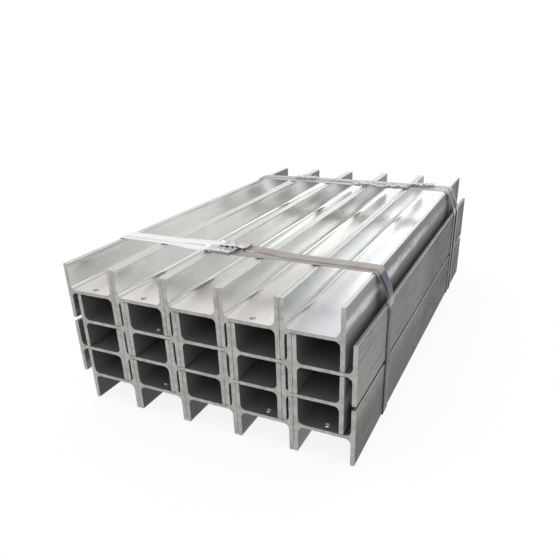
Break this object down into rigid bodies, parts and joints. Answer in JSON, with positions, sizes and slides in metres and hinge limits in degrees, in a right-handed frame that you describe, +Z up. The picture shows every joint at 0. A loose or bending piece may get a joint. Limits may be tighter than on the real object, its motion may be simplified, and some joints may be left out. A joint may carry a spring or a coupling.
{
  "type": "strapped bundle of galvanized h-beams",
  "caption": "Strapped bundle of short galvanized H-beams, nested in layers with webs flat and held near both ends by steel bands with notched seals.",
  "frame": {"origin": "on the ground, under the middle of the bundle", "axes": "+X to the right seen from the front end, +Y along the beams from the front end to the back end, +Z up"},
  "size_m": [0.5262, 0.9, 0.2674],
  "materials": {
    "galvanized_steel": "dull zinc coating with soft sheen, drips and stains",
    "band_steel": "smooth strapping",
    "seal_steel": "bright folded seal"
  },
  "bodies": {
    "root": {"beam_1_1": "galvanized_steel", "beam_1_2": "galvanized_steel", "beam_1_3": "galvanized_steel", "beam_1_4": "galvanized_steel", "beam_1_5": "galvanized_steel", "beam_2_1": "galvanized_steel", "beam_2_2": "galvanized_steel", "beam_2_3": "galvanized_steel", "beam_2_4": "galvanized_steel", "beam_2_5": "galvanized_steel", "beam_3_1": "galvanized_steel", "beam_3_2": "galvanized_steel", "beam_3_3": "galvanized_steel", "beam_3_4": "galvanized_steel", "beam_3_5": "galvanized_steel", "beam_4_1": "galvanized_steel", "beam_4_2": "galvanized_steel", "beam_4_3": "galvanized_steel", "beam_4_4": "galvanized_steel", "beam_4_5": "galvanized_steel", "band_front_inner": "band_steel", "band_front_outer": "band_steel", "band_back_inner": "band_steel", "band_back_outer": "band_steel", "seal_front_inner_1": "seal_steel", "seal_front_outer_1": "seal_steel", "seal_back_inner_1": "seal_steel", "seal_back_inner_2": "seal_steel", "seal_back_outer_1": "seal_steel", "seal_back_outer_2": "seal_steel"}
  },
  "joints": []
}
